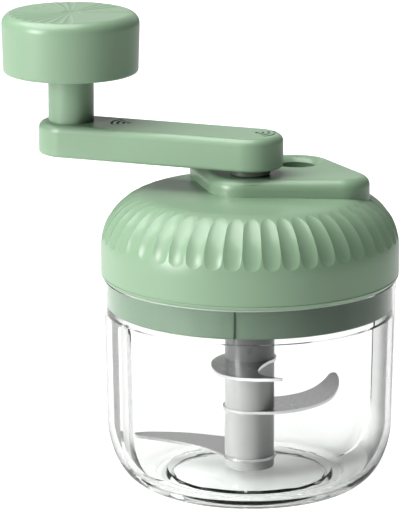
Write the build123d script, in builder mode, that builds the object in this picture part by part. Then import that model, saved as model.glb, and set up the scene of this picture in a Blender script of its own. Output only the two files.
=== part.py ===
"""Hand cranked food chopper: clear cup, fluted green lid, crank with knob, three-blade column.

Millimetres, +Z up. The origin is the middle of the cup's foot ring on the table. The crank,
the blade column and the cup share the Z axis. +Y points to the back of the cup.
"""
from build123d import *

import os
from math import asin, atan2, cos, degrees, radians, sin, tan

os.makedirs("parts", exist_ok=True)

# ------------------------------------------------------------------ clearances
slide_gap = 0.35        # lid skirt in the cup's mouth, lifted out by hand
running_gap = 0.05      # radial clearance of a shaft in its bearing
seat_gap = 0.04         # pieces fixed to each other in one assembly
key_gap = 0.30          # drive hexes and other loose locating features
key_side_gap = 0.10     # flat sides of the lid's keys in their slots
face_gap = 0.30         # faces that pass each other while something turns

# ------------------------------------------------------------------ cup
cup_rim_r = 44.5        # outside of the mouth
cup_height = 65.0
cup_lip_wall = 0.9      # thin wall round the lid's skirt
cup_lip_depth = 10.4    # how far the thin wall reaches down to its ledge
cup_wall = 2.15         # wall under the ledge
wall_draft = 1.2        # degrees, for the mould
corner_r_outer = 14.1   # tight part of the outside bottom corner
blend_r_outer = 27.4    # wide part of it, running into the wall
corner_r_inner = 10.0
blend_r_inner = 24.0
corner_turn = 60.0      # degrees turned by the tight part
floor_z = 4.0           # inside floor
foot_recess_r = 24.2    # hollow under the floor, inside the foot ring
foot_recess_depth = 1.5
channel_in_r = 25.3     # channel in the floor above the foot ring
channel_out_r = 29.4
channel_depth = 1.8
channel_side = 0.8      # run of its sloping sides
rib_count = 2           # ribs down the inside that throw the food back to the blades
rib_angle = 26.0
rib_width = 5.6
rib_depth = 1.3
rib_root = 0.8          # how far a rib is rooted in the wall
rib_top_drop = 3.1      # from the ledge down to where a rib's round top starts
key_count = 2           # keys in the mouth that stop the lid from turning
key_angle = 263.5
key_width = 0.7
key_depth = 0.8
key_root = 0.2          # how far a key is rooted in the wall
key_top_drop = 1.0
pin_r = 2.0             # steel pivot pin
pin_boss_r = 4.3
pin_boss_h = 2.6
pin_root_z = 2.7
pin_top_z = 22.0

# ------------------------------------------------------------------ lid
dome_overhang = 0.85    # straight wall of the dome beyond the cup's rim
dome_foot_round = 1.5   # rounded lower edge of the dome
dome_seam = 0.12        # fine line over the rounded edge
shoulder_r = 18.0       # arc over the shoulder
shoulder_z = 74.35      # where the wall turns into the shoulder
crown_angle = 67.5      # where the shoulder arc meets the flat crown
crown_rise = 0.65       # how far the crown still climbs to the middle
crown_blend = 16.0
lid_wall = 2.2
flute_count = 48
flute_r = 8.0           # radius of one scallop across
flute_depth = 0.8       # where a scallop is deepest
flute_deep_angle = 60.0
flute_low_depth = 0.5   # at its round lower end
flute_low_angle = 19.0
flute_sweep = 64.0
boss_top_z = 96.6       # raised platform that carries crank and port
boss_front_y = -9.5
boss_left_x = -10.4     # front left corner, before it is rounded
boss_left_lean = 104.5  # directions of the two side walls, seen from above
boss_right_lean = 116.7
boss_left_round = 11.5
boss_right_round = 8.8
boss_back_round = 8.0
boss_edge = 3.0
boss_wall = 2.4
boss_root_z = 88.9
port_x = 14.3           # pouring port
port_y = 18.2
port_wall_r = 12.0      # platform round the port
port_mouth_r = 9.2
port_r = 5.9
port_dish = 1.5
port_bowl = 0.45        # how much the mouth is hollowed
port_tube_wall = 1.7
skirt_r = cup_rim_r - cup_lip_wall - slide_gap
skirt_bottom_z = 56.3
skirt_wall = 2.0
deck_z = 64.4           # underside of the plate that closes the lid
deck_t = 2.0
gasket_w = 0.7
gasket_h = 1.3
snap_h = 1.6            # how far the inner lid reaches up into the dome
snap_step = 0.7
skirt_lead = 0.4
port_collar_h = 3.0
coupler_hole_gap = 0.8

# ------------------------------------------------------------------ crank
crank_x = -54.7         # knob axis
crank_y = 20.2
arm_r = 10.0            # half the arm's width, and its round ends
arm_bottom_z = 99.2
arm_top_z = 109.2
arm_top_edge = 2.2
arm_low_edge = 0.9
arm_wall = 2.1
arm_base_t = 2.6
collar_r = 6.2
journal_r = 4.5
bush_wall = 2.0
bush_bottom_z = 84.0
bush_top_z = 94.8
bush_flange_r = 8.6
bush_flange_t = 1.4
housing_wall = 2.6
stub_af = 6.0           # square on top of the shaft, in the arm's base
stub_h = 4.4
hub_web = 1.2
arm_hub_r = 5.5
arm_rib_w = 2.0
washer_t = 0.8
washer_r = 7.6
clip_t = 0.9
clip_r = 6.6
clip_groove = 0.9
clip_mouth = 0.85
tail_af = 5.6           # square tail in the coupler
coupler_r = 8.2
coupler_top_z = 76.0
coupler_bottom_z = 60.6
coupler_web = 1.5
head_room = 2.0         # over the drive hex, for the screw's head
hex_af = 8.6            # core of the blade column, which is also the drive hex
hex_top_z = 67.4
hex_lead = 0.6
screw_r = 1.4
screw_head_r = 2.7
screw_head_h = 1.8
screw_recess_r = 1.3
screw_reach = 4.4       # thread in the shaft's end
stem_screw_reach = 4.6  # above the arm
mark_far_s = 40.0       # dots of the turning marks, along the arm
mark_near_s = -1.6
mark_across = -2.0
mark_arcs = 3
mark_step = 1.8
mark_span = 95.0
mark_w = 0.8
mark_depth = 0.5

# ------------------------------------------------------------------ knob
stem_r = 7.0
knob_bottom_z = 124.4
knob_top_z = 142.7
knob_low_r = 20.7
knob_high_r = 21.1
knob_widest_z = 138.6
knob_edge = 3.4
knob_low_edge = 0.8
knob_wall = 2.2
knob_flute_count = 32
knob_flute_lean = 14.6  # axis of a groove above level, in degrees
knob_flute_dip = 0.96   # bottom of a groove below level, in degrees
knob_dimple_r = 3.2
knob_dimple = 0.5
knob_roof_z = 139.6
axle_r = 3.0
axle_head_r = 5.4
axle_head_h = 1.6
axle_thread_r = 2.0
axle_thread = 9.0
knob_bush_wall = 1.6
knob_cover_t = 2.0
knob_hub_wall = 2.2
knob_hub_h = 7.0
cover_sink = 0.2        # cover set back from the shell's lower edge
cover_step = 0.6

# ------------------------------------------------------------------ blade column
column_r = 7.6
column_bottom_z = 4.8
blade_z = 8.0           # underside of the lowest blade's eye
blade_pitch = 15.4
blade_t = 0.9
blade_eye_r = 8.2
blade_turn = 120.0
blade_heading = 43.5    # direction of the middle blade's tip
blade_tip_rise = 3.0
blade_bend_start = 9.0
blade_tip_r = 37.3
blade_bend_arc = 14.0   # degrees of bend, past the tip
boss_room = 0.7         # round the pin's boss
foot_room_z = 7.6
sleeve_top_z = 60.0
sleeve_step_z = 55.4
sleeve_step = 0.35


def cup_side(top_r, top_z, bottom_z, corner_r, blend_r):
    """Bottom, corner and wall of the cup as one tangent line, from the axis to the top."""
    end_turn = radians(90 - wall_draft)
    turn = radians(corner_turn)
    run = corner_r * sin(turn) + blend_r * (sin(end_turn) - sin(turn))
    rise = corner_r * (1 - cos(turn)) + blend_r * (cos(turn) - cos(end_turn))
    flat_r = top_r - (top_z - bottom_z - rise) * tan(radians(wall_draft)) - run
    base = Line((0, bottom_z), (flat_r, bottom_z))
    corner = JernArc(base @ 1, (1, 0), corner_r, corner_turn)
    blend = JernArc(corner @ 1, corner % 1, blend_r, 90 - wall_draft - corner_turn)
    Line(blend @ 1, (top_r, top_z))


def left_wall_x(y):
    """Left side wall of the platform on the lid."""
    return boss_left_x + (y - boss_front_y) / tan(radians(boss_left_lean))


def right_wall_x(y):
    """Right side wall of the platform, tangent to the round about the port."""
    normal = radians(boss_right_lean - 90)
    reach = port_x * cos(normal) + port_y * sin(normal) + port_wall_r
    return (reach - y * sin(normal)) / cos(normal)


def ring(outer_r, inner_r, bottom_z, height, mode=Mode.ADD, centre=(0, 0)):
    """A plain disc, ring or tube standing on bottom_z, put into the part in progress."""
    with BuildSketch(Plane.XY.offset(bottom_z)) as outline:
        with Locations(centre):
            Circle(outer_r)
            if inner_r > 0:
                Circle(inner_r, mode=Mode.SUBTRACT)
    extrude(outline.sketch, amount=height, mode=mode)


def finish(builder, name):
    """Label a finished piece and write its STEP file."""
    builder.part.label = name
    export_step(builder.part, f"parts/{name}.step")


# =================================================================== CUP ASSEMBLY
ledge_z = cup_height - cup_lip_depth
ledge_r = cup_rim_r - cup_lip_wall
bore_r = ledge_r - (cup_wall - cup_lip_wall)
rib_top_z = ledge_z - rib_top_drop

with BuildPart() as cup_outside:
    with BuildSketch(Plane.XZ):
        with BuildLine():
            cup_side(cup_rim_r, cup_height, 0, corner_r_outer, blend_r_outer)
            Polyline((cup_rim_r, cup_height), (0, cup_height), (0, 0))
        make_face()
    revolve(axis=Axis.Z)

with BuildPart() as cup_inside:
    with BuildSketch(Plane.XZ):
        with BuildLine():
            cup_side(bore_r, ledge_z, floor_z, corner_r_inner, blend_r_inner)
            Polyline((bore_r, ledge_z), (0, ledge_z), (0, floor_z))
        make_face()
    revolve(axis=Axis.Z)
    ring(ledge_r, 0, ledge_z, cup_lip_depth)
    # channel above the foot ring
    with BuildSketch(Plane.XZ):
        with BuildLine():
            Polyline(
                (channel_in_r, floor_z + channel_side),
                (channel_in_r, floor_z),
                (channel_in_r + channel_side, floor_z - channel_depth),
                (channel_out_r - channel_side, floor_z - channel_depth),
                (channel_out_r, floor_z),
                (channel_out_r, floor_z + channel_side),
                close=True,
            )
        make_face()
    revolve(axis=Axis.Z)

with BuildPart() as cup_ribs:
    # slots with round tops, pushed out into the wall and cut to follow its inner line
    for i in range(rib_count):
        rib_turn = radians(rib_angle + 360 / rib_count * i)
        outward = (cos(rib_turn), sin(rib_turn), 0)
        rib_plane = Plane((0, 0, 0), x_dir=(-sin(rib_turn), cos(rib_turn), 0), z_dir=outward)
        with BuildSketch(rib_plane):
            with Locations((0, rib_top_z / 2)):
                SlotOverall(rib_top_z + rib_width, rib_width, rotation=90)
        extrude(amount=cup_rim_r)
    with BuildSketch(Plane.XZ):
        with BuildLine():
            cup_side(bore_r + rib_root, ledge_z, floor_z - rib_root, corner_r_inner, blend_r_inner)
            Polyline((bore_r + rib_root, ledge_z), (0, ledge_z), (0, floor_z - rib_root))
        make_face()
    revolve(axis=Axis.Z, mode=Mode.INTERSECT)
    with BuildSketch(Plane.XZ):
        with BuildLine():
            cup_side(bore_r - rib_depth, ledge_z, floor_z, corner_r_inner, blend_r_inner)
            Polyline((bore_r - rib_depth, ledge_z), (0, ledge_z), (0, floor_z))
        make_face()
    revolve(axis=Axis.Z, mode=Mode.SUBTRACT)
    ring(channel_out_r, 0, 0, ledge_z, Mode.SUBTRACT)

with BuildPart() as cup:
    add(cup_outside.part)
    add(cup_inside.part, mode=Mode.SUBTRACT)
    # hollow under the floor leaves the foot ring to stand on
    with BuildSketch():
        Circle(foot_recess_r)
    extrude(amount=foot_recess_depth, taper=30, mode=Mode.SUBTRACT)
    add(cup_ribs.part)
    # keys for the lid
    with BuildSketch(Plane.XY.offset(ledge_z)):
        with PolarLocations(ledge_r - key_depth / 2 + key_root, key_count, start_angle=key_angle):
            Rectangle(key_depth + 2 * key_root, key_width)
    extrude(amount=cup_lip_depth - key_top_drop)
    # boss that holds the pivot pin
    with BuildSketch(Plane.XY.offset(floor_z)):
        Circle(pin_boss_r)
    extrude(amount=pin_boss_h, taper=3)
    ring(pin_r + seat_gap, 0, pin_root_z, floor_z + pin_boss_h - pin_root_z, Mode.SUBTRACT)
finish(cup, "cup")

with BuildPart() as pivot_pin:
    ring(pin_r, 0, pin_root_z, pin_top_z - pin_root_z)
    chamfer(edges().group_by(Axis.Z)[-1], pin_r / 4)
finish(pivot_pin, "pivot_pin")

# =================================================================== LID
boss_back_y = port_y + port_wall_r
deck_top_z = deck_z + deck_t
dome_foot_z = cup_height + face_gap
groove_top_z = cup_height + gasket_h
snap_z = groove_top_z + snap_h
dome_r = cup_rim_r + dome_overhang
shoulder_x = dome_r - shoulder_r
crown_r = shoulder_x + shoulder_r * cos(radians(crown_angle))
crown_z = shoulder_z + shoulder_r * sin(radians(crown_angle))
inner_crown_z = crown_z - lid_wall
inner_crown_angle = degrees(asin((inner_crown_z - shoulder_z) / (shoulder_r - lid_wall)))
inner_crown_r = shoulder_x + (shoulder_r - lid_wall) * cos(radians(inner_crown_angle))
flute_swing = (flute_depth - flute_low_depth) / (1 - cos(radians(flute_deep_angle - flute_low_angle)))
flute_path_r = shoulder_r + flute_r - flute_depth + flute_swing
flute_path_x = shoulder_x - flute_swing * cos(radians(flute_deep_angle))
flute_path_z = shoulder_z - flute_swing * sin(radians(flute_deep_angle))
bush_r = journal_r + running_gap + bush_wall
housing_bore_r = bush_r + seat_gap

with BuildPart() as scallop:
    # what one scallop takes away: a round rod bent over the shoulder, with a ball at its lower end
    flute_low = radians(flute_low_angle)
    rod_plane = Plane(
        (flute_path_x, 0, flute_path_z),
        x_dir=(cos(flute_low), 0, sin(flute_low)),
        z_dir=(-sin(flute_low), 0, cos(flute_low)),
    )
    with BuildSketch(rod_plane):
        with Locations((flute_path_r, 0)):
            Circle(flute_r)
    revolve(axis=Axis((flute_path_x, 0, flute_path_z), (0, -1, 0)), revolution_arc=flute_sweep)
    with Locations(rod_plane.from_local_coords((flute_path_r, 0, 0))):
        Sphere(flute_r)

with BuildPart() as lid_dome:
    with BuildSketch(Plane.XZ):
        with BuildLine():
            Line((dome_r, shoulder_z), (dome_r, dome_foot_z))
            CenterArc((shoulder_x, shoulder_z), shoulder_r, 0, crown_angle)
            Line((crown_r, crown_z), (0, crown_z + crown_rise))
            Polyline((0, crown_z + crown_rise), (0, dome_foot_z), (dome_r, dome_foot_z))
        make_face()
        fillet(vertices().sort_by_distance((crown_r, crown_z))[0], crown_blend)
        fillet(vertices().sort_by_distance((dome_r, dome_foot_z))[0], dome_foot_round)
        with Locations((dome_r, dome_foot_z + dome_foot_round)):
            Rectangle(2 * dome_seam, 2 * dome_seam, rotation=45, mode=Mode.SUBTRACT)
    revolve(axis=Axis.Z)
    # scallops over the shoulder, up on to the crown
    with PolarLocations(0, flute_count):
        add(scallop.part, mode=Mode.SUBTRACT)
    # raised platform under the crank and round the port
    with BuildSketch(Plane.XY.offset(boss_root_z)) as boss_outline:
        with BuildLine():
            Polyline(
                (boss_left_x, boss_front_y),
                (right_wall_x(boss_front_y), boss_front_y),
                (right_wall_x(boss_back_y), boss_back_y),
                (left_wall_x(boss_back_y), boss_back_y),
                close=True,
            )
        make_face()
        fillet(vertices().sort_by_distance((boss_left_x, boss_front_y))[0], boss_left_round)
        fillet(vertices().sort_by_distance((right_wall_x(boss_front_y), boss_front_y))[0], boss_right_round)
        fillet(vertices().sort_by_distance((right_wall_x(boss_back_y), boss_back_y))[0], port_wall_r)
        fillet(vertices().sort_by_distance((left_wall_x(boss_back_y), boss_back_y))[0], boss_back_round)
    extrude(amount=boss_top_z - boss_root_z)
    fillet(faces().sort_by(Axis.Z)[-1].edges(), boss_edge)
    # hollow inside: wall of even thickness, open to the platform
    with BuildSketch(Plane.XZ):
        with BuildLine():
            CenterArc((shoulder_x, shoulder_z), shoulder_r - lid_wall, 0, inner_crown_angle)
            Line((inner_crown_r, inner_crown_z), (0, inner_crown_z + crown_rise))
            Polyline(
                (0, inner_crown_z + crown_rise),
                (0, dome_foot_z),
                (skirt_r + seat_gap, dome_foot_z),
                (skirt_r + seat_gap, snap_z + seat_gap),
                (dome_r - lid_wall - snap_step, snap_z + seat_gap),
                (dome_r - lid_wall, shoulder_z),
            )
        make_face()
    revolve(axis=Axis.Z, mode=Mode.SUBTRACT)
    with BuildSketch(Plane.XY.offset(boss_root_z - 1)):
        add(boss_outline.sketch.moved(Location((0, 0, -boss_root_z))))
        offset(amount=-boss_wall, mode=Mode.REPLACE)
    extrude(amount=boss_top_z - boss_wall - boss_root_z + 1, mode=Mode.SUBTRACT)
    # groove for the gasket in the lower edge
    ring(skirt_r + seat_gap + gasket_w + seat_gap, 0, dome_foot_z, groove_top_z - dome_foot_z, Mode.SUBTRACT)
    # housing of the crank bearing and tube of the port
    ring(housing_bore_r + housing_wall, 0, bush_bottom_z, boss_top_z - boss_wall / 2 - bush_bottom_z)
    port = (port_x, port_y)
    tube_r = port_r + port_tube_wall
    ring(tube_r, 0, deck_top_z + seat_gap, boss_top_z - boss_wall / 2 - deck_top_z - seat_gap, centre=port)
    ring(housing_bore_r, 0, bush_bottom_z, bush_top_z - bush_bottom_z, Mode.SUBTRACT)
    ring(journal_r + face_gap, 0, bush_top_z, boss_top_z - bush_top_z, Mode.SUBTRACT)
    with BuildSketch(Plane((port_x, port_y, 0), x_dir=(1, 0, 0), z_dir=(0, -1, 0))):
        with BuildLine():
            SagittaArc((port_r, boss_top_z - port_dish), (port_mouth_r, boss_top_z), port_bowl)
            Polyline(
                (port_mouth_r, boss_top_z),
                (0, boss_top_z),
                (0, deck_z),
                (port_r, deck_z),
                (port_r, boss_top_z - port_dish),
            )
        make_face()
    revolve(axis=Axis((port_x, port_y, 0), (0, 0, 1)), mode=Mode.SUBTRACT)
finish(lid_dome, "lid_dome")

with BuildPart() as inner_lid:
    ring(skirt_r, skirt_r - skirt_wall, skirt_bottom_z, snap_z - skirt_bottom_z)
    ring(skirt_r - skirt_wall / 2, 0, deck_z, deck_t)
    chamfer(edges().group_by(Axis.Z)[0], skirt_lead)
    # collar that takes the lower end of the port tube
    ring(tube_r + seat_gap + port_tube_wall, tube_r + seat_gap, deck_z, port_collar_h + deck_t, centre=port)
    ring(port_r, 0, deck_z, deck_t, Mode.SUBTRACT, centre=port)
    ring(coupler_r + coupler_hole_gap, 0, deck_z, deck_t, Mode.SUBTRACT)
    # key slots, open downwards
    with BuildSketch(Plane.XY.offset(skirt_bottom_z)):
        with PolarLocations(skirt_r, key_count, start_angle=key_angle):
            Rectangle(2 * (key_depth - slide_gap + key_gap), key_width + 2 * key_side_gap)
    extrude(amount=deck_z - skirt_bottom_z, mode=Mode.SUBTRACT)
finish(inner_lid, "inner_lid")

with BuildPart() as lid_gasket:
    gasket_in_r = skirt_r + seat_gap
    ring(gasket_in_r + gasket_w, gasket_in_r, cup_height, gasket_h - seat_gap)
finish(lid_gasket, "lid_gasket")

with BuildPart() as crank_bearing:
    ring(bush_r, journal_r + running_gap, bush_bottom_z, bush_top_z - bush_bottom_z)
    ring(bush_flange_r, journal_r + running_gap, bush_bottom_z - bush_flange_t, bush_flange_t)
finish(crank_bearing, "crank_bearing")

# =================================================================== CRANK
flange_low_z = bush_bottom_z - bush_flange_t
washer_top_z = flange_low_z - face_gap
clip_top_z = washer_top_z - washer_t
groove_r = journal_r - clip_groove
head_seat_z = hex_top_z + face_gap + head_room
web_top_z = head_seat_z + coupler_web
stub_top_z = arm_bottom_z + stub_h
hub_top_z = stub_top_z + hub_web + face_gap / 3
shell_roof_z = arm_top_z - arm_wall
knob_axis = (crank_x, crank_y)

with BuildPart() as drive_shaft:
    ring(journal_r, 0, coupler_top_z, boss_top_z + face_gap - coupler_top_z)
    ring(collar_r, 0, boss_top_z + face_gap, arm_bottom_z - boss_top_z - face_gap)
    chamfer(edges().filter_by(GeomType.CIRCLE).sort_by(SortBy.RADIUS)[-2:], face_gap)
    # square drives at both ends
    with BuildSketch(Plane.XY.offset(arm_bottom_z)):
        Rectangle(stub_af, stub_af)
    extrude(amount=stub_h)
    with BuildSketch(Plane.XY.offset(web_top_z)):
        Rectangle(tail_af, tail_af)
    extrude(amount=coupler_top_z - web_top_z)
    ring(journal_r, groove_r, clip_top_z - clip_t - seat_gap, clip_t + 2 * seat_gap, Mode.SUBTRACT)
    # screw bores in both ends
    ring(screw_r + seat_gap, 0, web_top_z, screw_reach, Mode.SUBTRACT)
    ring(screw_r + seat_gap, 0, stub_top_z - screw_reach, screw_reach, Mode.SUBTRACT)
finish(drive_shaft, "drive_shaft")

with BuildPart() as thrust_washer:
    ring(washer_r, journal_r + running_gap, washer_top_z - washer_t, washer_t)
finish(thrust_washer, "thrust_washer")

with BuildPart() as shaft_clip:
    # open ring, sprung into the groove from one side
    ring(clip_r, groove_r + seat_gap, clip_top_z - clip_t, clip_t)
    with BuildSketch(Plane.XY.offset(clip_top_z - clip_t)):
        with Locations((clip_r, 0)):
            Rectangle(2 * clip_r, 2 * groove_r * clip_mouth)
    extrude(amount=clip_t, mode=Mode.SUBTRACT)
finish(shaft_clip, "shaft_clip")

with BuildPart() as drive_coupler:
    ring(coupler_r, 0, coupler_bottom_z, coupler_top_z - coupler_bottom_z)
    chamfer(edges().group_by(Axis.Z)[-1], coupler_r / 8)
    with BuildSketch(Plane.XY.offset(coupler_bottom_z)):
        RegularPolygon(hex_af / 2 + key_gap, 6, major_radius=False)
    extrude(amount=hex_top_z + face_gap - coupler_bottom_z, mode=Mode.SUBTRACT)
    ring(screw_head_r + face_gap, 0, hex_top_z + face_gap, head_room, Mode.SUBTRACT)
    ring(screw_r + face_gap / 2, 0, head_seat_z, coupler_web, Mode.SUBTRACT)
    with BuildSketch(Plane.XY.offset(web_top_z)):
        Rectangle(tail_af + 2 * seat_gap, tail_af + 2 * seat_gap)
    extrude(amount=coupler_top_z - web_top_z, mode=Mode.SUBTRACT)
finish(drive_coupler, "drive_coupler")


def screw(seat_z, way, reach, centre=(0, 0)):
    """Pan head screw put into the part in progress: head under its seat, shank going `way`."""
    face = Plane((centre[0], centre[1], seat_z), z_dir=(0, 0, way))
    with BuildSketch(face) as shank:
        Circle(screw_r)
    extrude(shank.sketch, amount=reach)
    with BuildSketch(face) as head:
        Circle(screw_head_r)
    extrude(head.sketch, amount=-screw_head_h)
    with BuildSketch(face.offset(-screw_head_h)) as recess:
        RegularPolygon(screw_recess_r, 6)
    extrude(recess.sketch, amount=screw_head_h * 0.6, mode=Mode.SUBTRACT)


with BuildPart() as shaft_screws:
    screw(head_seat_z, 1, coupler_web + screw_reach - face_gap)
    screw(hub_top_z, -1, hub_top_z - stub_top_z + screw_reach - face_gap)
finish(shaft_screws, "shaft_screws")

with BuildPart() as arm_base:
    inner_r = arm_r - arm_wall - seat_gap
    arm_turn = degrees(atan2(crank_y, crank_x))
    arm_reach = (crank_x**2 + crank_y**2) ** 0.5
    with BuildSketch(Plane.XY.offset(arm_bottom_z)):
        SlotCenterPoint((crank_x / 2, crank_y / 2), knob_axis, 2 * inner_r)
    extrude(amount=arm_base_t)
    # stiffening rib between the hubs
    with BuildSketch(Plane.XY.offset(arm_bottom_z)):
        with Locations(Location((crank_x / 2, crank_y / 2, 0), (0, 0, arm_turn))):
            Rectangle(arm_reach, arm_rib_w)
    extrude(amount=stub_h)
    ring(arm_hub_r, 0, arm_bottom_z, hub_top_z - arm_bottom_z)
    ring(arm_hub_r, 0, arm_bottom_z, shell_roof_z - arm_bottom_z, centre=knob_axis)
    with BuildSketch(Plane.XY.offset(arm_bottom_z)):
        Rectangle(stub_af + 2 * seat_gap, stub_af + 2 * seat_gap)
    extrude(amount=stub_h + face_gap / 3, mode=Mode.SUBTRACT)
    ring(screw_r + face_gap / 2, 0, stub_top_z, hub_top_z - stub_top_z, Mode.SUBTRACT)
    ring(screw_head_r + face_gap, 0, arm_bottom_z, arm_base_t, Mode.SUBTRACT, centre=knob_axis)
    ring(screw_r + face_gap / 2, 0, arm_bottom_z, shell_roof_z - arm_bottom_z, Mode.SUBTRACT, centre=knob_axis)
finish(arm_base, "arm_base")

with BuildPart() as arm_shell:
    with BuildSketch(Plane.XY.offset(arm_bottom_z)):
        SlotCenterPoint((crank_x / 2, crank_y / 2), knob_axis, 2 * arm_r)
    extrude(amount=arm_top_z - arm_bottom_z)
    fillet(edges().group_by(Axis.Z)[-1], arm_top_edge)
    fillet(edges().group_by(Axis.Z)[0], arm_low_edge)
    with BuildSketch(Plane.XY.offset(arm_bottom_z)):
        SlotCenterPoint((crank_x / 2, crank_y / 2), knob_axis, 2 * (arm_r - arm_wall))
    extrude(amount=shell_roof_z - arm_bottom_z, mode=Mode.SUBTRACT)
    ring(screw_r + face_gap / 2, 0, shell_roof_z, arm_wall, Mode.SUBTRACT, centre=knob_axis)
    # engraved turning marks: a dot with three arcs at each end of the arm
    mark_plane = Plane((0, 0, arm_top_z), x_dir=(crank_x, crank_y, 0), z_dir=(0, 0, 1))
    with BuildSketch(mark_plane):
        for mark_s, heading in ((mark_far_s, 0), (mark_near_s, 180)):
            with Locations((mark_s, mark_across)):
                Circle(mark_w)
            for i in range(mark_arcs):
                line = Edge.make_circle(
                    mark_step * (i + 1),
                    Plane((mark_s, mark_across, 0)),
                    heading - mark_span / 2,
                    heading + mark_span / 2,
                )
                SlotArc(line, mark_w)
    extrude(amount=-mark_depth, mode=Mode.SUBTRACT)
finish(arm_shell, "arm_shell")

stem_top_z = knob_bottom_z - face_gap
stem_screw_top_z = arm_top_z + stem_screw_reach

with BuildPart() as knob_stem:
    ring(stem_r, 0, arm_top_z, stem_top_z - arm_top_z, centre=knob_axis)
    chamfer(edges().group_by(Axis.Z)[-1], face_gap)
    ring(screw_r + seat_gap, 0, arm_top_z, stem_screw_reach + face_gap, Mode.SUBTRACT, centre=knob_axis)
    ring(axle_thread_r + seat_gap, 0, stem_top_z - axle_thread, axle_thread, Mode.SUBTRACT, centre=knob_axis)
finish(knob_stem, "knob_stem")

with BuildPart() as stem_screw:
    screw(arm_bottom_z + arm_base_t, 1, stem_screw_top_z - arm_bottom_z - arm_base_t, knob_axis)
finish(stem_screw, "stem_screw")

# =================================================================== KNOB
cover_z = knob_bottom_z + cover_sink
cover_top_z = cover_z + knob_cover_t
knob_bush_r = axle_r + running_gap + knob_bush_wall
axle_head_z = cover_top_z + knob_hub_h + face_gap

with BuildPart() as knob_axle:
    ring(axle_thread_r, 0, stem_top_z - axle_thread + face_gap, axle_thread - face_gap, centre=knob_axis)
    ring(axle_r, 0, stem_top_z, axle_head_z - stem_top_z, centre=knob_axis)
    ring(axle_head_r, 0, axle_head_z, axle_head_h, centre=knob_axis)
    fillet(edges().group_by(Axis.Z)[-1], axle_head_h / 3)
    with BuildSketch(Plane((crank_x, crank_y, axle_head_z + axle_head_h))):
        RegularPolygon(screw_head_r * 0.7, 6)
    extrude(amount=-axle_head_h * 0.6, mode=Mode.SUBTRACT)
finish(knob_axle, "knob_axle")

with BuildPart() as knob_groove:
    # what one groove takes away: a slim cone with its point in the middle of the knob's top
    lean = radians(knob_flute_lean)
    half_angle = lean + radians(knob_flute_dip)
    flute_len = knob_high_r * 1.3
    flute_end = (flute_len * cos(lean), knob_top_z + flute_len * sin(lean))
    flute_half = flute_len * tan(half_angle)
    with BuildSketch(Plane.XZ):
        with BuildLine():
            Polyline(
                (0, knob_top_z),
                flute_end,
                (flute_end[0] + flute_half * sin(lean), flute_end[1] - flute_half * cos(lean)),
                close=True,
            )
        make_face()
    revolve(axis=Axis((0, 0, knob_top_z), (cos(lean), 0, sin(lean))))

with BuildPart() as knob_form:
    # the shell turned about the Z axis, to be moved onto the crank
    with BuildSketch(Plane.XZ):
        with BuildLine():
            Polyline((0, knob_bottom_z), (knob_low_r, knob_bottom_z), (knob_high_r, knob_widest_z))
            Polyline((knob_high_r, knob_widest_z), (knob_high_r, knob_top_z), (0, knob_top_z))
            Line((0, knob_top_z), (0, knob_bottom_z))
        make_face()
        fillet(vertices().sort_by_distance((knob_high_r, knob_top_z))[0], knob_edge)
        fillet(vertices().sort_by_distance((knob_low_r, knob_bottom_z))[0], knob_low_edge)
    revolve(axis=Axis.Z)
    # fan of shallow grooves that widen from the middle to the rim
    with PolarLocations(0, knob_flute_count):
        add(knob_groove.part, mode=Mode.SUBTRACT)
    # dimple in the middle
    dimple_ball = (knob_dimple_r**2 + knob_dimple**2) / (2 * knob_dimple)
    with Locations((0, 0, knob_top_z + dimple_ball - knob_dimple)):
        Sphere(dimple_ball, mode=Mode.SUBTRACT)
    # hollow, with a step that stops the cover
    ring(knob_low_r - knob_wall, 0, knob_bottom_z, cover_top_z - knob_bottom_z, Mode.SUBTRACT)
    ring(knob_low_r - knob_wall - cover_step, 0, cover_top_z, knob_roof_z - cover_top_z, Mode.SUBTRACT)

with BuildPart() as knob_shell:
    with Locations(knob_axis):
        add(knob_form.part)
finish(knob_shell, "knob_shell")

with BuildPart() as knob_bottom_cover:
    ring(knob_low_r - knob_wall - seat_gap, 0, cover_z, knob_cover_t, centre=knob_axis)
    ring(knob_bush_r + knob_hub_wall, 0, cover_z, knob_cover_t + knob_hub_h, centre=knob_axis)
    ring(knob_bush_r + seat_gap, 0, cover_z, knob_cover_t + knob_hub_h, Mode.SUBTRACT, centre=knob_axis)
finish(knob_bottom_cover, "knob_bottom_cover")

with BuildPart() as knob_bush:
    ring(knob_bush_r, axle_r + running_gap, cover_z, knob_cover_t + knob_hub_h, centre=knob_axis)
finish(knob_bush, "knob_bush")

# =================================================================== BLADE COLUMN


def core_outline(grow):
    """The six-sided core, grown by a clearance, put into the sketch in progress."""
    RegularPolygon(hex_af / 2 + grow, 6, major_radius=False)


with BuildPart() as blade_spindle:
    ring(column_r, 0, column_bottom_z, blade_z - column_bottom_z)
    fillet(edges().group_by(Axis.Z)[0], face_gap)
    with BuildSketch(Plane.XY.offset(blade_z)):
        core_outline(0)
    extrude(amount=hex_top_z - blade_z)
    chamfer(edges().group_by(Axis.Z)[-1], hex_lead)
    # room for the pin's boss, and the bearing bore that ends on the pin
    ring(pin_boss_r + boss_room, 0, column_bottom_z, foot_room_z - column_bottom_z, Mode.SUBTRACT)
    ring(pin_r + running_gap, 0, foot_room_z, pin_top_z - foot_room_z, Mode.SUBTRACT)
finish(blade_spindle, "blade_spindle")

first_eye_z = blade_z + blade_t
second_eye_z = first_eye_z + blade_pitch
third_eye_z = second_eye_z + blade_pitch
spacer_h = blade_pitch - blade_t

with BuildPart() as lower_spacer:
    ring(column_r, 0, first_eye_z, spacer_h)
    with BuildSketch(Plane.XY.offset(first_eye_z)):
        core_outline(seat_gap)
    extrude(amount=spacer_h, mode=Mode.SUBTRACT)
finish(lower_spacer, "lower_spacer")

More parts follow.
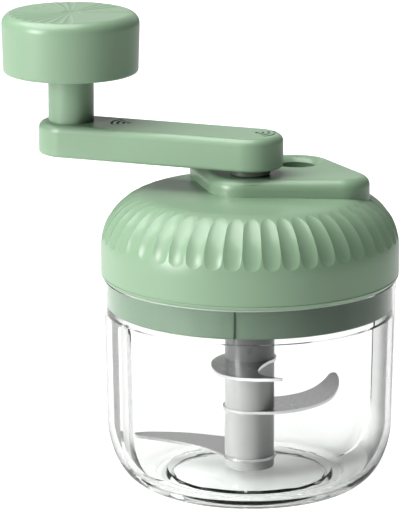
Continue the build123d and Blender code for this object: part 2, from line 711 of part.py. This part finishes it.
with BuildPart() as middle_spacer:
    ring(column_r, 0, second_eye_z, spacer_h)
    with BuildSketch(Plane.XY.offset(second_eye_z)):
        core_outline(seat_gap)
    extrude(amount=spacer_h, mode=Mode.SUBTRACT)
finish(middle_spacer, "middle_spacer")

with BuildPart() as upper_sleeve:
    ring(column_r, 0, third_eye_z, sleeve_step_z - third_eye_z)
    ring(column_r - sleeve_step, 0, sleeve_step_z, sleeve_top_z - sleeve_step_z)
    with BuildSketch(Plane.XY.offset(third_eye_z)):
        core_outline(seat_gap)
    extrude(amount=sleeve_top_z - third_eye_z, mode=Mode.SUBTRACT)
finish(upper_sleeve, "upper_sleeve")

with BuildPart() as blade_form:
    # flat over the eye, then one long bend up to the tip
    bend_r = (blade_tip_r - blade_bend_start) ** 2 / (2 * blade_tip_rise)
    heading = radians(blade_heading)
    side_plane = Plane(
        (0, 0, 0),
        x_dir=(cos(heading), sin(heading), 0),
        z_dir=(sin(heading), -cos(heading), 0),
    )
    with BuildSketch(side_plane):
        with BuildLine():
            under = Line((-blade_tip_r, 0), (blade_bend_start, 0))
            bend = JernArc(under @ 1, (1, 0), bend_r, blade_bend_arc)
            end = Line(bend @ 1, bend @ 1 + blade_t * (bend % 1).rotate(Axis.Z, 90))
            back = JernArc(end @ 1, (bend % 1) * -1, bend_r - blade_t, -blade_bend_arc)
            Polyline(back @ 1, (-blade_tip_r, blade_t), (-blade_tip_r, 0))
        make_face()
    extrude(amount=blade_tip_r + blade_eye_r, both=True)
    # outline from above, drawn for the middle blade
    with BuildSketch():
        with BuildLine():
            outer = Spline(
                (1.4, -8.0),
                (10.4, -7.3),
                (18.8, -2.0),
                (25.0, 5.4),
                (27.9, 14.6),
                (28.1, 22.5),
                (27.5, 25.2),
            )
            tip = RadiusArc((27.5, 25.2), (25.3, 25.0), -1.2)
            inner = Spline(
                (25.3, 25.0),
                (22.2, 18.6),
                (18.4, 13.8),
                (13.5, 10.5),
                (8.0, 8.7),
                (0.0, 8.0),
            )
            Polyline((0.0, 8.0), (0, 0), (1.4, -8.0))
        make_face()
        Circle(blade_eye_r)
    extrude(amount=blade_tip_rise * 3, mode=Mode.INTERSECT)
    with BuildSketch():
        core_outline(seat_gap)
    extrude(amount=blade_tip_rise, mode=Mode.SUBTRACT)

with BuildPart() as lower_blade:
    with Locations(Location((0, 0, blade_z), (0, 0, blade_turn))):
        add(blade_form.part)
finish(lower_blade, "lower_blade")

with BuildPart() as middle_blade:
    with Locations(Location((0, 0, blade_z + blade_pitch))):
        add(blade_form.part)
finish(middle_blade, "middle_blade")

with BuildPart() as upper_blade:
    with Locations(Location((0, 0, blade_z + 2 * blade_pitch), (0, 0, -blade_turn))):
        add(blade_form.part)
finish(upper_blade, "upper_blade")
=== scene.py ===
import math

import bpy
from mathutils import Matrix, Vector

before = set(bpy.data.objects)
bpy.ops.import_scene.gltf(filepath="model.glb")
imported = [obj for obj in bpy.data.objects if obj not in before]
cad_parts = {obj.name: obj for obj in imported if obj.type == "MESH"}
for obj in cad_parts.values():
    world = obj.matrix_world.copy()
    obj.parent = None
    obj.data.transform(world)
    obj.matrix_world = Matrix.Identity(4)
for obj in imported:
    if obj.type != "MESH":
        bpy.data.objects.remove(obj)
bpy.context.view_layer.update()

# ------------------------------------------------------------------ camera of the photograph
CAMERA_PLACE = (-0.0152, -1.1539, 0.3561)
CAMERA_TILT = math.radians(13.865)      # below level
CAMERA_LENS = 275.3                     # mm
CAMERA_SENSOR = 36.0                    # mm, the long side of the 400 x 511 picture

# ------------------------------------------------------------------ colours (linear)
SAGE = (0.160, 0.245, 0.160)
# the same sage darkened as painted shade, for parts under the lid, beneath the arm and under the knob
SAGE_PAINTED_SHADE = (0.085, 0.125, 0.088)
# the same sage made much darker as painted shade, for the shaft collar deep under the arm
SAGE_PAINTED_DEEP_SHADE = (0.05, 0.065, 0.05)
CLEAR = (0.985, 0.99, 0.985)
# dark colours mixed into the clear cup: painted shade where its skins are seen edge on
WALL_PAINTED_SHADE = (0.03, 0.03, 0.03)
LINE_PAINTED_SHADE = (0.16, 0.16, 0.16)
CUP_IOR = 1.13
CUP_LETS_THROUGH = (0.95, 0.965, 0.955) # share of the light that reaches what stands inside
# height and radius of the middle of the cup's wall, mm: which skin a point of it belongs to
CUP_MIDDLE = (
    (0, 30), (4.5, 35.6), (7, 38.4), (9, 39.7), (12.8, 41.3),
    (17, 42.3), (20.5, 42.6), (54.5, 43.3), (54.8, 44), (65, 44),
)
CURVE_HEIGHT = 65.0                     # mm that the two axes of the curve through them stand for
CURVE_RADIUS = 45.0
MM = 0.001
# facing range and strength of the cup's painted shade: broad on the inner wall, thin elsewhere
PAINTED_SHADE_BROAD = (0.45, 0.93, 0.90)         # facing where it starts, where it ends, its strength
PAINTED_SHADE_THIN = (0.86, 0.98, 0.55)
WALL_SPAN = (0.007, 0.0545)             # heights between which the inner skin darkens broadly, m
WHITE_PLASTIC = (0.27, 0.27, 0.268)
# grey sleeve plastic, darkened further as painted shade from the lid above it
GREY_SLEEVE_AND_SHADE = (0.13, 0.13, 0.133)
STEEL = (0.50, 0.50, 0.50)
BLADE_STEEL = (0.62, 0.62, 0.62)
SEAL = (0.50, 0.56, 0.50)

# ------------------------------------------------------------------ surface detail
MOULDED_IOR = 1.4
NOISE_LOW, NOISE_HIGH = 0.3, 0.7        # part of the noise's range that is spread over a surface's own
DRIFT_SCALE = 60                        # slow drift of a moulded colour
GLOSS_SCALE = 240                       # patches of slightly different gloss
GLOSS_SPREAD = 0.012
STREAK_SCALE = 2600
STREAK_SPREAD = 0.02
STREAK_DEPTH = 0.0000008                # m
CUP_DRIFT_SCALE = 35
CUP_SPREAD = 0.004

# ------------------------------------------------------------------ lights: place, size, power
KEY = dict(place=(-0.88, -0.48, 0.32), size=(0.36, 0.50), power=12.5)
TOP = dict(place=(-0.36, 0.02, 0.95), size=(1.00, 1.00), power=22.0)
BACK = dict(place=(0.15, 1.25, 0.50), size=(1.40, 0.60), power=1.4)
TARGET = Vector((0.0, 0.0, 0.075))
WORLD_STRENGTH = 0.04
FLOOR_SIZE = 12.0
FLOOR_COLOUR = (0.55, 0.55, 0.55)
FLOOR_ROUGHNESS = 0.9
FLOOR_SPREAD = 0.004
FLOOR_GRAIN = 0.00001                   # m
FLOOR_GRAIN_SCALE = 300
FLOOR_GLOW = 0.66                       # lit table top, so that the ground is as white as in the photograph
FLOOR_MIRRORED = 0.16                   # its glow as seen in reflections


def link(tree, source, out, target, into):
    """Joins the named output of one node to the named input of another."""
    tree.links.new(source.outputs[out], target.inputs[into])


def start(name):
    """New material with a Principled shader; returns material, node tree and shader."""
    mat = bpy.data.materials.new(name)
    mat.use_nodes = True
    tree = mat.node_tree
    return mat, tree, tree.nodes["Principled BSDF"]


def noise(tree, scale, detail, stretch=(1, 1, 1)):
    """Noise in the object's own metres, stretched along an axis for drawn or brushed surfaces."""
    place = tree.nodes.new("ShaderNodeTexCoord")
    mapping = tree.nodes.new("ShaderNodeMapping")
    mapping.inputs["Scale"].default_value = stretch
    tex = tree.nodes.new("ShaderNodeTexNoise")
    tex.inputs["Scale"].default_value = scale
    tex.inputs["Detail"].default_value = detail
    link(tree, place, "Object", mapping, "Vector")
    link(tree, mapping, "Vector", tex, "Vector")
    return tex


def vary_colour(tree, shader, tex, colour, spread):
    """Base colour that drifts between a little darker and a little lighter with the noise."""
    ramp = tree.nodes.new("ShaderNodeValToRGB")
    low, high = ramp.color_ramp.elements
    low.position, high.position = NOISE_LOW, NOISE_HIGH
    low.color = (*[c * (1 - spread) for c in colour], 1)
    high.color = (*[min(1.0, c * (1 + spread)) for c in colour], 1)
    link(tree, tex, "Fac", ramp, "Fac")
    link(tree, ramp, "Color", shader, "Base Color")


def vary_roughness(tree, shader, tex, low, high):
    """Roughness that wanders between two values with the noise."""
    reach = tree.nodes.new("ShaderNodeMapRange")
    reach.inputs["From Min"].default_value = NOISE_LOW
    reach.inputs["From Max"].default_value = NOISE_HIGH
    reach.inputs["To Min"].default_value = low
    reach.inputs["To Max"].default_value = high
    link(tree, tex, "Fac", reach, "Value")
    link(tree, reach, "Result", shader, "Roughness")


def add_bump(tree, shader, tex, depth):
    """Fine relief of the given depth in metres."""
    bump = tree.nodes.new("ShaderNodeBump")
    bump.inputs["Strength"].default_value = 1.0
    bump.inputs["Distance"].default_value = depth
    link(tree, tex, "Fac", bump, "Height")
    link(tree, bump, "Normal", shader, "Normal")


def moulded(name, colour, roughness, spread=0.012, grain=0.000006, grain_scale=2600):
    """Injection moulded plastic: even colour with faint drift, fine mould grain."""
    mat, tree, shader = start(name)
    drift = noise(tree, DRIFT_SCALE, 4)
    vary_colour(tree, shader, drift, colour, spread)
    gloss = noise(tree, GLOSS_SCALE, 5)
    vary_roughness(tree, shader, gloss, roughness - GLOSS_SPREAD, roughness + GLOSS_SPREAD)
    add_bump(tree, shader, noise(tree, grain_scale, 2), grain)
    shader.inputs["IOR"].default_value = MOULDED_IOR
    return mat


def ground_steel(name, colour, roughness, stretch):
    """Ground or brushed steel: streaks along one direction."""
    mat, tree, shader = start(name)
    streaks = noise(tree, STREAK_SCALE, 4, stretch)
    vary_colour(tree, shader, streaks, colour, STREAK_SPREAD)
    vary_roughness(tree, shader, streaks, roughness - STREAK_SPREAD, roughness + STREAK_SPREAD)
    add_bump(tree, shader, streaks, STREAK_DEPTH)
    shader.inputs["Metallic"].default_value = 1.0
    return mat


def number(tree, kind, first, second=None):
    """Math node fed by sockets or plain numbers; returns its output socket."""
    node = tree.nodes.new("ShaderNodeMath")
    node.operation = kind
    for socket, value in zip(node.inputs, (first, second)):
        if isinstance(value, (int, float)):
            socket.default_value = value
        elif value is not None:
            tree.links.new(value, socket)
    return node.outputs["Value"]


def smooth_step(tree, value, low, high, top):
    """Soft step from 0 at low to top at high."""
    step = tree.nodes.new("ShaderNodeMapRange")
    step.interpolation_type = "SMOOTHSTEP"
    step.inputs["From Min"].default_value = low
    step.inputs["From Max"].default_value = high
    step.inputs["To Max"].default_value = top
    tree.links.new(value, step.inputs["Value"])
    return step.outputs["Result"]


def inner_skin(tree):
    """1 on the inner skin of the cup's side wall and 0 elsewhere: a point is on it where its radius
    is less than that of the middle of the wall at its height."""
    place = tree.nodes.new("ShaderNodeTexCoord")
    split = tree.nodes.new("ShaderNodeSeparateXYZ")
    link(tree, place, "Object", split, "Vector")
    x, y, z = split.outputs["X"], split.outputs["Y"], split.outputs["Z"]
    x_squared = number(tree, "MULTIPLY", x, x)
    y_squared = number(tree, "MULTIPLY", y, y)
    radius = number(tree, "SQRT", number(tree, "ADD", x_squared, y_squared))
    curve = tree.nodes.new("ShaderNodeFloatCurve")
    points = curve.mapping.curves[0].points
    for height, wall in CUP_MIDDLE:
        points.new(height / CURVE_HEIGHT, wall / CURVE_RADIUS)
    points.remove(points[0])
    points.remove(points[len(points) - 1])
    for point in points:
        point.handle_type = "VECTOR"
    curve.mapping.update()
    tree.links.new(number(tree, "DIVIDE", z, CURVE_HEIGHT * MM), curve.inputs["Value"])
    middle = number(tree, "MULTIPLY", curve.outputs["Value"], CURVE_RADIUS * MM)
    above = number(tree, "GREATER_THAN", z, WALL_SPAN[0])
    below = number(tree, "LESS_THAN", z, WALL_SPAN[1])
    in_wall = number(tree, "MULTIPLY", above, below)
    return number(tree, "MULTIPLY", number(tree, "LESS_THAN", radius, middle), in_wall)


def clear_plastic(name, colour):
    """Clear moulded cup: bends light a little, and a dark diffuse mix paints shade where its skins are seen
    edge on.

    The painted shade covers a broad band on the inner skin of the side wall and a thin line everywhere
    else.
    """
    mat, tree, shader = start(name)
    drift = noise(tree, CUP_DRIFT_SCALE, 2)
    vary_colour(tree, shader, drift, colour, CUP_SPREAD)
    vary_roughness(tree, shader, drift, 0.0, CUP_SPREAD)
    shader.inputs["Transmission Weight"].default_value = 1.0
    shader.inputs["IOR"].default_value = CUP_IOR
    inner = inner_skin(tree)
    facing = tree.nodes.new("ShaderNodeLayerWeight")
    facing.inputs["Blend"].default_value = 0.5
    broad = smooth_step(tree, facing.outputs["Facing"], *PAINTED_SHADE_BROAD)
    thin = smooth_step(tree, facing.outputs["Facing"], *PAINTED_SHADE_THIN)
    share = tree.nodes.new("ShaderNodeMix")
    tree.links.new(inner, share.inputs["Factor"])
    tree.links.new(thin, share.inputs["A"])
    tree.links.new(broad, share.inputs["B"])
    painted_shade_tone = tree.nodes.new("ShaderNodeMix")
    painted_shade_tone.data_type = "RGBA"
    tree.links.new(inner, painted_shade_tone.inputs["Factor"])
    painted_shade_tone.inputs["A"].default_value = (*LINE_PAINTED_SHADE, 1)
    painted_shade_tone.inputs["B"].default_value = (*WALL_PAINTED_SHADE, 1)
    # dark diffuse sheet mixed in by facing: painted shade along the skins seen edge on
    shade = tree.nodes.new("ShaderNodeBsdfDiffuse")
    link(tree, painted_shade_tone, "Result", shade, "Color")
    with_painted_shade = tree.nodes.new("ShaderNodeMixShader")
    link(tree, share, "Result", with_painted_shade, "Fac")
    tree.links.new(shader.outputs["BSDF"], with_painted_shade.inputs[1])
    tree.links.new(shade.outputs["BSDF"], with_painted_shade.inputs[2])
    # light for what stands inside goes straight through
    through = tree.nodes.new("ShaderNodeBsdfTransparent")
    through.inputs["Color"].default_value = (*CUP_LETS_THROUGH, 1)
    path = tree.nodes.new("ShaderNodeLightPath")
    mix = tree.nodes.new("ShaderNodeMixShader")
    link(tree, path, "Is Shadow Ray", mix, "Fac")
    tree.links.new(with_painted_shade.outputs["Shader"], mix.inputs[1])
    tree.links.new(through.outputs["BSDF"], mix.inputs[2])
    link(tree, mix, "Shader", tree.nodes["Material Output"], "Surface")
    return mat


def dress(mat, *names):
    """Gives CAD nodes a finished material in place of the plain one."""
    for name in names:
        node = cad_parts[name]
        for place in node.material_slots:
            place.material = mat


dress(moulded("sage_gloss", SAGE, 0.30), "lid_dome", "arm_shell", "knob_stem", "knob_shell")
# painted shade: a darker copy of the sage for the lid skirt, arm base and knob bottom cover
dress(moulded("sage_painted_shade", SAGE_PAINTED_SHADE, 0.34), "inner_lid", "arm_base", "knob_bottom_cover")
# painted shade: the drive shaft's collar is darkened for the shade under the arm
dress(moulded("sage_painted_deep_shade", SAGE_PAINTED_DEEP_SHADE, 0.38), "drive_shaft")
dress(clear_plastic("clear_cup", CLEAR), "cup")
hidden_fittings = ("crank_bearing", "thrust_washer", "knob_bush", "drive_coupler")
dress(moulded("white_plastic", WHITE_PLASTIC, 0.42), *hidden_fittings)
column = ("blade_spindle", "lower_spacer", "middle_spacer")
dress(moulded("column_white", WHITE_PLASTIC, 0.30), *column)
# grey sleeve with painted shade of the lid darkening it further
dress(moulded("column_grey", GREY_SLEEVE_AND_SHADE, 0.28), "upper_sleeve")
dress(moulded("soft_seal", SEAL, 0.55), "lid_gasket")
blades = ("lower_blade", "middle_blade", "upper_blade")
dress(ground_steel("blade_steel", BLADE_STEEL, 0.26, (1, 1, 14)), *blades)
dress(ground_steel("pin_steel", STEEL, 0.30, (1, 1, 9)), "pivot_pin", "shaft_clip", "knob_axle")
dress(ground_steel("screw_steel", STEEL, 0.34, (3, 3, 1)), "shaft_screws", "stem_screw")

# ------------------------------------------------------------------ floor
floor_mesh = bpy.data.meshes.new("floor")
half = FLOOR_SIZE / 2
corners = [(-half, -half, 0), (half, -half, 0), (half, half, 0), (-half, half, 0)]
floor_mesh.from_pydata(corners, [], [(0, 1, 2, 3)])
floor = bpy.data.objects.new("floor", floor_mesh)
bpy.context.scene.collection.objects.link(floor)
table_top = moulded(
    "table_top", FLOOR_COLOUR, FLOOR_ROUGHNESS, FLOOR_SPREAD, FLOOR_GRAIN, FLOOR_GRAIN_SCALE
)
floor_tree = table_top.node_tree
glow = floor_tree.nodes["Principled BSDF"]
glow.inputs["Emission Color"].default_value = (1, 1, 1, 1)
rays = floor_tree.nodes.new("ShaderNodeLightPath")
mirrored = rays.outputs["Is Glossy Ray"]
dimming = number(floor_tree, "MULTIPLY", mirrored, FLOOR_GLOW - FLOOR_MIRRORED)
strength = number(floor_tree, "SUBTRACT", FLOOR_GLOW, dimming)
floor_tree.links.new(strength, glow.inputs["Emission Strength"])
floor_mesh.materials.append(table_top)


# ------------------------------------------------------------------ light
def softbox(name, place, size, power):
    """Rectangular area light aimed at the middle of the object."""
    data = bpy.data.lights.new(name, "AREA")
    data.shape = "RECTANGLE"
    data.size, data.size_y = size
    data.energy = power
    lamp = bpy.data.objects.new(name, data)
    bpy.context.scene.collection.objects.link(lamp)
    lamp.location = place
    lamp.rotation_euler = (TARGET - Vector(place)).to_track_quat("-Z", "Y").to_euler()


softbox("key", **KEY)
softbox("top", **TOP)
softbox("back", **BACK)

world = bpy.data.worlds.new("studio")
world.use_nodes = True
surroundings = world.node_tree.nodes["Background"]
surroundings.inputs["Color"].default_value = (1, 1, 1, 1)
surroundings.inputs["Strength"].default_value = WORLD_STRENGTH
bpy.context.scene.world = world
bpy.context.scene.view_settings.view_transform = "Standard"

# ------------------------------------------------------------------ camera
camera_data = bpy.data.cameras.new("camera")
camera_data.lens = CAMERA_LENS
camera_data.sensor_width = CAMERA_SENSOR
camera = bpy.data.objects.new("camera", camera_data)
bpy.context.scene.collection.objects.link(camera)
camera.location = CAMERA_PLACE
camera.rotation_euler = (math.pi / 2 - CAMERA_TILT, 0, 0)
bpy.context.scene.camera = camera
